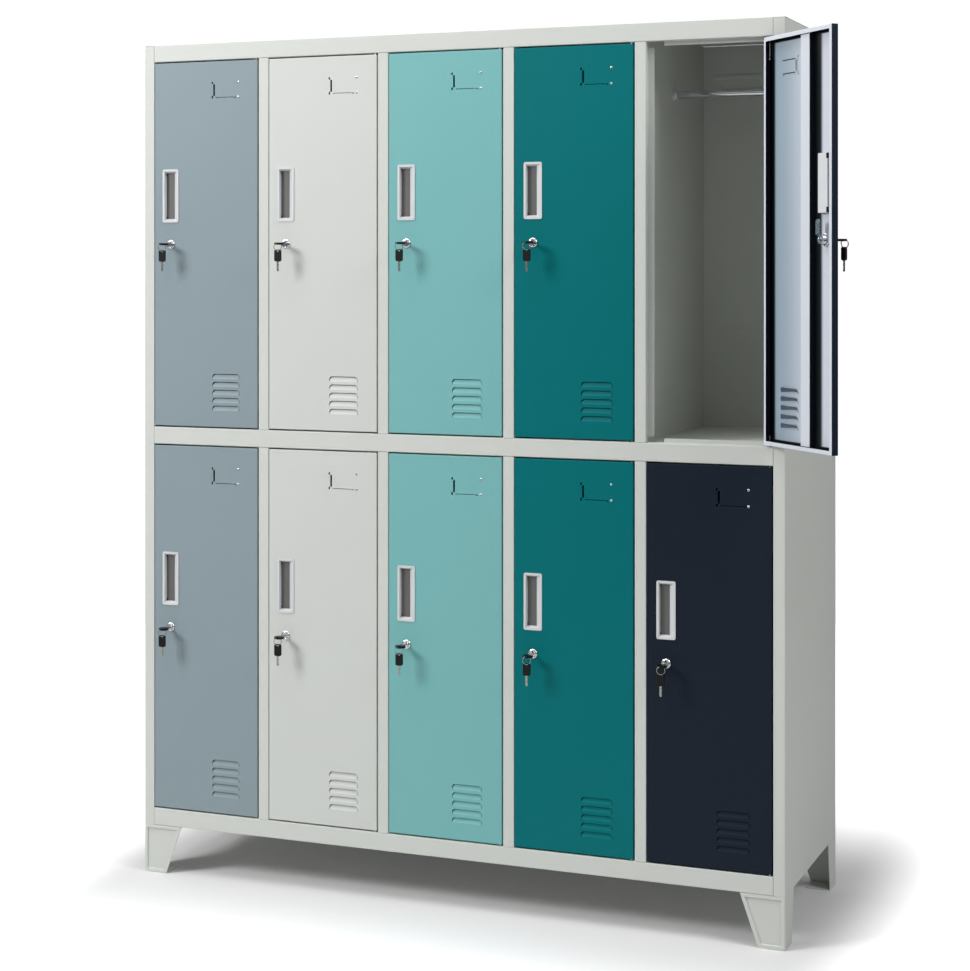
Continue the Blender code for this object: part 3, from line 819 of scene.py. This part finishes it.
def on_card(door, obj):
    return placed(obj, door, door.card_inset, door.height - door.card_drop)


def louvre_outline(door, name):
    """Flat shape of one louvre, facing outwards, with its two top corners rounded."""
    half_x, half_z = door.louvre_width / 2, door.louvre_height / 2
    obj = added(name, bpy.ops.mesh.primitive_plane_add, size=1)
    places = [(x, 0, z) for z in (-half_z, half_z) for x in (-half_x, half_x)]
    for vert, place in zip(obj.data.vertices, places):
        vert.co = place
    pick(obj, lambda vert: vert.co.z > 0, "VERT")
    beveled(door.louvre_height * 0.62, 6, "VERTICES")
    bpy.ops.object.mode_set(mode="OBJECT")
    return obj


def stacked(door, louvre):
    """Repeats a louvre's shape up the door."""
    placed(louvre, door, door.card_inset, door.louvre_rise)
    return modified(louvre, "ARRAY", count=door.louvre_count, use_relative_offset=False,
                    use_constant_offset=True, constant_offset_displace=(0, 0, door.louvre_pitch))


def louvre_cutters(door):
    """Closed shapes that open the sheet round each louvre."""
    return stacked(door, modified(louvre_outline(door, "cutter"), "SOLIDIFY", thickness=0.008, offset=0))


def louvre_tongues(door):
    """Tongues pressed in behind the openings, flush at their feet and deepest at their tops."""
    tongue = louvre_outline(door, "tongue")
    foot_z = -door.louvre_height / 2
    pick(tongue, lambda item: True)
    bpy.ops.transform.resize(value=(0.965, 1, 0.93), center_override=(0, 0, foot_z))
    bpy.ops.mesh.bisect(plane_co=(0, 0, foot_z + door.louvre_height * 0.45), plane_no=(0, 0, 1))
    for share, depth in ((0.40, 0.55), (0.80, 0.45)):
        pick(tongue, lambda vert: vert.co.z > foot_z + door.louvre_height * share, "VERT")
        bpy.ops.transform.translate(value=(0, door.louvre_depth * depth, 0))
    bpy.ops.mesh.select_all(action="SELECT")
    bpy.ops.transform.translate(value=(0, 0.0001, 0))
    return stacked(door, modified(tongue, "SOLIDIFY", thickness=door.sheet, offset=-1))


def card_cutter(door):
    """Slot, hooks, creases and hole pressed for the name card, none of which touches another."""
    right, half = door.card_width / 2, door.card_height / 2
    left, slot = -right, half * 0.78
    through, inside = (-0.002, 0.003), (door.sheet - 0.0003, 0.004)
    shapes = [(left, left + 0.0036, -slot, slot, through),
              (left + 0.005, right - 0.0115, -half - 0.0006, 0.0006 - half, through),
              (left + 0.0054, left + 0.0074, 0.005 - half, half - 0.005, inside)]
    for up in (-1, 1):
        ends, height = sorted((up * half * 0.80, up * (half + 0.0022))), up * (half - 0.003)
        shapes += [(left - 0.0040, left - 0.0008, *ends, through, 0.0006),
                   (left + 0.009, right - 0.004, height - 0.0010, height + 0.0010, inside)]
    cutters = [block("cutter", (start, near, foot_z), (end, far, top), *bevel)
               for start, end, foot_z, top, (near, far), *bevel in shapes]
    hole_x, hole_z = right - 0.008, -half - 0.001
    hole = round_bar("hole", (hole_x, through[0], hole_z), (hole_x, through[1], hole_z), 0.0016, 16)
    return on_card(door, joined("cutter", [*cutters, hole]))


def rivets(door):
    """Two small round-headed rivets at the card holder's right-hand end."""
    outline = [(0.0025, -0.0004), (0.0025, 0.0004), (0.0020, 0.0010), (0.0011, 0.0014)]
    half_x, half_z = door.card_width / 2, door.card_height / 2
    return [on_card(door, turned("rivet", outline, 16, (half_x, 0, up * half_z))) for up in (-1, 1)]


def door_leaf(door, paint, zinc):
    """Folded tray with lips, stiffener, louvres, card holder and hinge pins."""
    left, right = door.pin_edge - door.width, door.pin_edge
    leaf = block("leaf", (left, face(door, 0), 0), (right, face(door, door.depth), door.height))
    pick(leaf, lambda item: item.normal.y > 0.9)
    bpy.ops.mesh.inset(thickness=door.lip)
    bpy.ops.mesh.delete(type="FACE")

    def outer(vert):
        return (min(abs(vert.co.x - left), abs(vert.co.x - right)) < NEAR
                and min(vert.co.z, door.height - vert.co.z) < NEAR)

    pick(leaf, lambda edge: all(outer(vert) for vert in edge.verts), "EDGE")
    beveled(door.bend, 3)
    walled(leaf, door.sheet)
    lock_x, lock_z = left + door.lock_inset, door.height - door.lock_drop
    cup_z = door.height - door.handle_drop
    half_x, half_z = door.handle_width / 2 - 0.0017, door.handle_height / 2 - 0.0017
    before, behind = face(door, -0.02), face(door, 0.006)
    window = block("window", (lock_x - half_x, before, cup_z - half_z),
                   (lock_x + half_x, behind, cup_z + half_z))
    bore = round_bar("bore", (lock_x, before, lock_z), (lock_x, behind, lock_z), 0.0083, 32)
    cut(leaf, [window, bore, louvre_cutters(door), card_cutter(door)])
    centre, half = right - door.stiffener_inset, door.stiffener_width / 2
    root, crown = face(door, door.sheet), face(door, door.sheet + door.stiffener_depth)
    channel = folded("stiffener", [(centre + half, root), (centre + half, crown), (centre - half, crown),
                                   (centre - half, root)], "Z", door.lip + door.sheet,
                     door.height - door.lip - door.sheet, 0.0022, door.sheet)
    clip_x, reach = -door.card_width / 2, door.card_height / 2 * 0.78
    clip = on_card(door, block("clip", (clip_x - 0.0042, -0.0008, -reach), (clip_x - 0.0002, 0.0002, reach),
                               0.0005))
    sheet = painted(joined("leaf", [leaf, channel, clip, louvre_tongues(door)]), paint)
    top = door.height
    pins = [round_bar("pin", (0, 0, -0.009), (0, 0, 0.018), 0.0016, 20, 0.0004),
            round_bar("pin", (0, 0, top - 0.040), (0, 0, top + 0.009), 0.0016, 20, 0.0004),
            round_bar("pin_tail", (0.0004, 0.0002, top - 0.0385), (-0.0085, 0.0052, top - 0.0415),
                      0.0015, 20, 0.0005)]
    fixings = painted(joined("fixings", [*rivets(door), *pins]), zinc)
    return joined("leaf", [sheet, fixings])


class LOCKER_OT_leaves(Drawing, bpy.types.Operator):
    """Draw a door leaf once, and hang a copy in each opening"""

    bl_idname = "locker.leaves"
    bl_label = "Door leaves"

    def draw_pieces(self, cab, door, colours):
        paints = [powder_coat(name, tuple(getattr(colours, name))) for name in COLOUR_NAMES]
        master = door_leaf(door, paints[0], look(colours, "zinc"))
        for name in HINGES:
            column = int(name[-1]) - 1
            leaf = copied(master)
            leaf.material_slots[0].material = paints[column]
            # The navy leaf's inner faces get the enamel with its painted sheen, highlight and shade.
            if COLOUR_NAMES[column] == "navy":
                leaf.data.materials.append(inner_enamel_with_painted_light(name, door, colours, door_pose(name)))
                for polygon in leaf.data.polygons:
                    if polygon.material_index == 0 and polygon.normal.y > 0.3:
                        polygon.material_index = 2
            hung(leaf, name)
            kept(leaf, f"{name}_pressed_leaf", name, [f"{name}_leaf"], 32)
        bpy.data.objects.remove(master, do_unlink=True)


def finger_cup(door, colours):
    """Moulded cup: rounded border, a steep side towards the free edge and a long slope on the other."""
    half_x, half_z = door.handle_width / 2, door.handle_height / 2
    rim, depth, front, rear = door.handle_rim, door.handle_depth, -0.0015, -GAP
    cup = block("cup", (-half_x, front, -half_z), (half_x, rear, half_z))
    cornered(cup, 0.0035)

    def sink(facing, border, bottom, steep, slope, ends):
        """Insets the face that looks this way along Y, and sinks it with unequal sides."""
        pick(cup, lambda item: item.normal.y * facing > 0.9 and item.calc_area() > 0.0008)
        bpy.ops.mesh.inset(thickness=border)
        start = front if facing < 0 else rear
        bpy.ops.mesh.extrude_region_move(TRANSFORM_OT_translate={"value": (0, bottom - start, 0)})
        wide, tall = 2 * (half_x - border), 2 * (half_z - border)
        pivot = wide * (steep / (steep + slope) - 0.5)
        bpy.ops.transform.resize(value=(1 - (steep + slope) / wide, 1, 1 - 2 * ends / tall),
                                 center_override=(pivot, bottom, 0))

    sink(1, 0.0021, depth, 0.0006, 0.0006, 0.0006)
    sink(-1, rim, depth - 0.0012, 0.0008, 0.0095, 0.0035)
    shell = softened(cup, 0.0007, 40, 3)
    plate = block("cup_floor", (rim + 0.0008 - half_x, depth - 0.0018, 0.0078 - half_z),
                  (half_x - rim - 0.0095, depth - 0.0011, half_z - 0.0078), 0.0002, 1)
    clips = [block("clip", (0.0016 - half_x, 0.0066, height - 0.005),
                   (0.0070 - half_x, 0.0093, height + 0.005), 0.0008) for height in (0.008 - half_z, half_z - 0.008)]
    whole = joined("cup", [painted(shell, look(colours, "cup")), painted(plate, look(colours, "cup_floor")),
                           painted(joined("clips", clips), look(colours, "bow"))])
    return placed(whole, door, door.width - door.lock_inset, door.height - door.handle_drop)


class LOCKER_OT_handles(Drawing, bpy.types.Operator):
    """Draw a finger cup once, and fit a copy to each door"""

    bl_idname = "locker.handles"
    bl_label = "Finger cups"

    def draw_pieces(self, cab, door, colours):
        fitted(finger_cup(door, colours), "finger_cup", 40, ["handle"])


# ---- lock and keys, modelled round the lock's middle on the leaf's outer face ----
def at_lock(door, obj):
    return placed(obj, door, door.width - door.lock_inset, door.height - door.lock_drop)


def lock_housing(door, colours):
    """Turned lock housing: domed head, threaded body and a hexagonal nut."""
    radius = door.lock_radius
    head = turned("head", [(radius - 0.0006, 0.0002), (radius, 0.0007), (radius, 0.0016),
                           (radius - 0.0005, 0.0024), (radius - 0.0017, 0.0032), (radius - 0.0027, 0.0034),
                           (radius - 0.0031, 0.0029), (0.0060, 0.0027)], 48)
    thread = []
    for step in range(7):
        depth = -0.0010 - step * 0.0016
        thread += [(0.0078, depth), (0.0072, depth - 0.0008)]
    body = turned("body", [*thread, (0.0072, -0.0128)])
    nut = turned("nut", [(0.0118, -0.0012), (0.0124, -0.0018), (0.0124, -0.0046), (0.0116, -0.0052)], 6)
    return at_lock(door, painted(joined("lock", [head, body, nut]), look(colours, "chrome")))


class LOCKER_OT_locks(Drawing, bpy.types.Operator):
    """Draw a lock housing once, and fit a copy to each door"""

    bl_idname = "locker.locks"
    bl_label = "Lock housings"

    def draw_pieces(self, cab, door, colours):
        fitted(lock_housing(door, colours), "lock_housing", 30, ["lock_barrel"])


def cranked_cam():
    """Strip that steps back from the plug's end to the plane in which it turns, with rounded ends."""
    hub, plane, half, bend, reach = 0.0148, 0.0195, 0.007, 0.0096, 0.037
    cam = folded("cam", [(hub, -half), (hub, bend - 0.0015), (plane, bend), (plane, reach)], "X", -half, half,
                 0.0012, 0.0015)
    cornered(cam, 0.0055, test=lambda place: abs(abs(place.x) - half) < 0.0001
             and (place.z > reach - 0.001 or place.z < 0.001 - half))
    return cam


def turning_key(door, colours):
    """What the key turns: the plug, the cranked cam behind it, and the key with its black bow."""
    plug = turned("plug", [(0.0054, -0.0130), (0.0056, -0.0125), (0.0056, 0.0029), (0.0052, 0.0034)])
    cut(plug, [block("keyway", (-0.0040, -0.006, -0.0009), (0.0040, -0.0010, 0.0009))])
    screw = turned("cam_screw", [(0.0034, -0.0185), (0.0040, -0.0178), (0.0040, -0.0140)], 6)
    blade = block("blade", (-0.0036, -0.024, -0.0008), (0.0036, 0.001, 0.0008), 0.0003, 1)
    half, middle = KEY_THICK / 2, 0.0105 - door.key_reach
    bow = round_bar("bow", (0, middle, -half), (0, middle, half), 0.0105, 40)
    pick(bow, lambda item: True, "VERT")
    bpy.ops.transform.resize(value=(0.98, 0.95, 1), center_override=(0, middle, 0))
    neck = block("neck", (-0.0052, middle, -half), (0.0052, middle + 0.0125, half))
    modified(bow, "BOOLEAN", operation="UNION", solver="EXACT", object=neck)
    bpy.data.objects.remove(neck, do_unlink=True)
    hole_y = middle - 0.0055
    cut(bow, [round_bar("ring_hole", (0, hole_y, -0.01), (0, hole_y, 0.01), 0.0022, 20)])
    softened(bow, 0.0005, 40)
    return at_lock(door, joined("key", [
        painted(plug, look(colours, "chrome")),
        painted(joined("cam", [cranked_cam(), screw]), look(colours, "zinc")),
        painted(blade, look(colours, "nickel")), painted(bow, look(colours, "bow"))]))


class LOCKER_OT_keys(Drawing, bpy.types.Operator):
    """Draw a key with its plug and cam once, and fit a copy to each lock"""

    bl_idname = "locker.keys"
    bl_label = "Keys and cams"

    def draw_pieces(self, cab, door, colours):
        fitted(turning_key(door, colours), "key_and_cam", 35, ["key"], "_lock")


def split_ring(radius, wire):
    """Two turns of round wire about Z, closed at both ends."""
    ring = added("ring", bpy.ops.mesh.primitive_circle_add, vertices=10, radius=wire, location=(radius, 0, 0),
                 rotation=(math.pi / 2, 0, 0), fill_type="NGON")
    settled(ring)
    pick(ring, lambda item: True)
    bpy.ops.mesh.delete(type="ONLY_FACE")
    modified(ring, "SCREW", axis="Z", angle=math.tau, iterations=2, screw_offset=0.0014, steps=36,
             render_steps=36, use_merge_vertices=False)
    pick(ring, lambda edge: edge.is_boundary, "EDGE")
    bpy.ops.mesh.edge_face_add()
    turned_outwards()
    return ring


def spare_key(door, colours):
    """Split ring through the key's bow, with a second key hanging from it."""
    hole_y, half = 0.005 - door.key_reach, KEY_THICK / 2
    radius = 0.0078
    ring = split_ring(radius, 0.00065)
    ring.rotation_euler = (math.radians(90), 0, math.radians(22))
    ring.location = (0, hole_y - 0.0005, 0.0012 - radius)
    settled(ring)
    top = 0.0035 - 2 * radius
    head = block("head", (-0.0076, hole_y - half, top - 0.0245), (0.0076, hole_y + half, top))
    cornered(head, 0.0035)
    hole_z = top - 0.0034
    cut(head, [round_bar("hole", (0, hole_y - 0.01, hole_z), (0, hole_y + 0.01, hole_z), 0.0019, 20)])
    softened(head, 0.0005, 40)
    tip = top - 0.0445
    blade = block("blade", (-0.0023, hole_y - 0.0009, tip), (0.0023, hole_y + 0.0009, top - 0.023))
    cornered(blade, 0.0016, 2, lambda place: place.z < tip + 0.001)
    notches = []
    for step, depth in enumerate((0.0012, 0.0018, 0.0009, 0.0016)):
        notch = block("notch", (-0.0012, -0.01, -0.0012), (0.0012, 0.01, 0.0012))
        notch.rotation_euler = (0, math.pi / 4, 0)
        notch.location = (0.0040 - depth, hole_y, tip + 0.005 + step * 0.0037)
        notches.append(settled(notch))
    cut(blade, notches)
    return at_lock(door, joined("spare", [painted(joined("metal", [ring, blade]), look(colours, "nickel")),
                                          painted(head, look(colours, "bow"))]))


class LOCKER_OT_spare_keys(Drawing, bpy.types.Operator):
    """Hang a ring with a second key from each key"""

    bl_idname = "locker.spare_keys"
    bl_label = "Spare keys"

    def draw_pieces(self, cab, door, colours):
        fitted(spare_key(door, colours), "spare_key", 35)


# ---- stage ----
def softbox(name, place, aim, size, power):
    """Rectangular area light that points at a place."""
    deselect()
    bpy.ops.object.light_add(type="AREA", location=place)
    light = bpy.context.active_object
    light.name = name
    light.data.shape = "RECTANGLE"
    light.data.size, light.data.size_y = size
    light.data.energy = power
    light.rotation_euler = (Vector(aim) - Vector(place)).to_track_quat("-Z", "Y").to_euler()
    return light


class LOCKER_OT_stage(bpy.types.Operator):
    """Set the pale floor, the soft light and the camera"""

    bl_idname = "locker.stage"
    bl_label = "Stage"

    def execute(self, context):
        middle_x = (LEFT + RIGHT) / 2
        floor = added("studio_floor", bpy.ops.mesh.primitive_circle_add, vertices=96, radius=3.4,
                      fill_type="NGON", location=(0, 0, -0.0005))
        settled(floor)
        paint = bpy.data.materials.new("matt_white_floor")
        paint.use_nodes = True
        tree = paint.node_tree

        def vector(operation, first, second):
            return node(tree, "VectorMath", {"operation": operation, 1: second}, {0: first})

        # The floor fades to white away from the locker's footprint, for the camera only.
        place = node(tree, "TexCoord").outputs["Object"]
        reach = vector("ABSOLUTE", vector("SUBTRACT", place, (middle_x, MIDDLE, 0)), (0, 0, 0))
        beyond = vector("SUBTRACT", reach, (RIGHT - middle_x, BACK - MIDDLE, 0))
        outside = vector("MULTIPLY", vector("MAXIMUM", beyond, (0, 0, 0)), (3.0, 1.1, 0))
        away = vector("LENGTH", outside, (0, 0, 0)).outputs["Value"]
        glow = node(tree, "MapRange", {"From Min": 0.03, "From Max": 0.80, "To Min": 0.03, "To Max": 0.95,
                                       "interpolation_type": "SMOOTHSTEP"}, {"Value": away})
        seen = node(tree, "LightPath").outputs["Is Camera Ray"]
        filled(tree.nodes["Principled BSDF"], tree, {
            "Base Color": (0.74, 0.74, 0.74, 1), "Roughness": 0.9, "Specular IOR Level": 0.1,
            "Emission Color": (1, 1, 1, 1),
            "Emission Strength": node(tree, "Math", {"operation": "MULTIPLY"}, {0: glow, 1: seen})})
        painted(floor, paint)

        # A dim world that the camera sees as white, and that mirrors see as brighter above.
        world = bpy.data.worlds.new("soft_studio")
        context.scene.world = world
        world.use_nodes = True
        tree = world.node_tree
        rays = node(tree, "LightPath")
        seen = node(tree, "MapRange", {"To Min": 0.15, "To Max": 1.05},
                    {"Value": rays.outputs["Is Camera Ray"]})
        sky = node(tree, "SeparateXYZ", links={"Vector": node(tree, "TexCoord").outputs["Generated"]})
        above = node(tree, "MapRange", {"From Min": -0.05, "From Max": 0.35, "To Min": 0.0, "To Max": 0.60},
                     {"Value": sky.outputs["Z"]})
        mirrored = node(tree, "Math", {"operation": "MULTIPLY"}, {0: rays.outputs["Is Glossy Ray"], 1: above})
        filled(tree.nodes["Background"], tree, {
            "Color": (1, 1, 1, 1),
            "Strength": node(tree, "Math", {"operation": "ADD"}, {0: seen, 1: mirrored})})
        softbox("key_softbox", (-2.9, -3.0, 3.1), (-0.4, 0, 1.2), (1.4, 1.4), 135)
        softbox("top_softbox", (-0.5, -0.6, 4.2), (0, -0.1, 0), (3.0, 2.6), 85)
        softbox("side_softbox", (3.2, -1.1, 3.4), (0.6, 0, 1.3), (1.5, 1.5), 62)
        bpy.ops.object.camera_add(location=(1.5052, -3.8793, 1.2752),
                                  rotation=(math.radians(90), 0, math.radians(21.7)))
        camera = bpy.context.active_object
        camera.data.sensor_width = 36
        camera.data.lens = 75.5
        camera.data.shift_y = -0.223
        context.scene.camera = camera
        context.scene.view_settings.view_transform = "Standard"
        return {"FINISHED"}


OPERATORS = (LOCKER_OT_cabinet, LOCKER_OT_feet, LOCKER_OT_rods, LOCKER_OT_leaves, LOCKER_OT_handles,
             LOCKER_OT_locks, LOCKER_OT_keys, LOCKER_OT_spare_keys, LOCKER_OT_stage)


class LOCKER_PT_panel(bpy.types.Panel):
    """Lists the locker's pieces"""

    bl_idname = "LOCKER_PT_panel"
    bl_label = "School locker"
    bl_space_type = "VIEW_3D"
    bl_region_type = "UI"
    bl_category = "Locker"

    def draw(self, context):
        for operator in OPERATORS:
            self.layout.operator(operator.bl_idname)


GROUPS = {"locker_cabinet": CabinetSizes, "locker_door": DoorSizes, "locker_finishes": Finishes}


def register():
    for kind in (*GROUPS.values(), *OPERATORS, LOCKER_PT_panel):
        bpy.utils.register_class(kind)
    for name, kind in GROUPS.items():
        setattr(bpy.types.Scene, name, PointerProperty(type=kind))


def unregister():
    for name in GROUPS:
        delattr(bpy.types.Scene, name)
    for kind in reversed((*GROUPS.values(), *OPERATORS, LOCKER_PT_panel)):
        bpy.utils.unregister_class(kind)


def main():
    register()
    for operator in OPERATORS:
        group, name = operator.bl_idname.split(".")
        getattr(getattr(bpy.ops, group), name)()


if __name__ == "__main__":
    main()
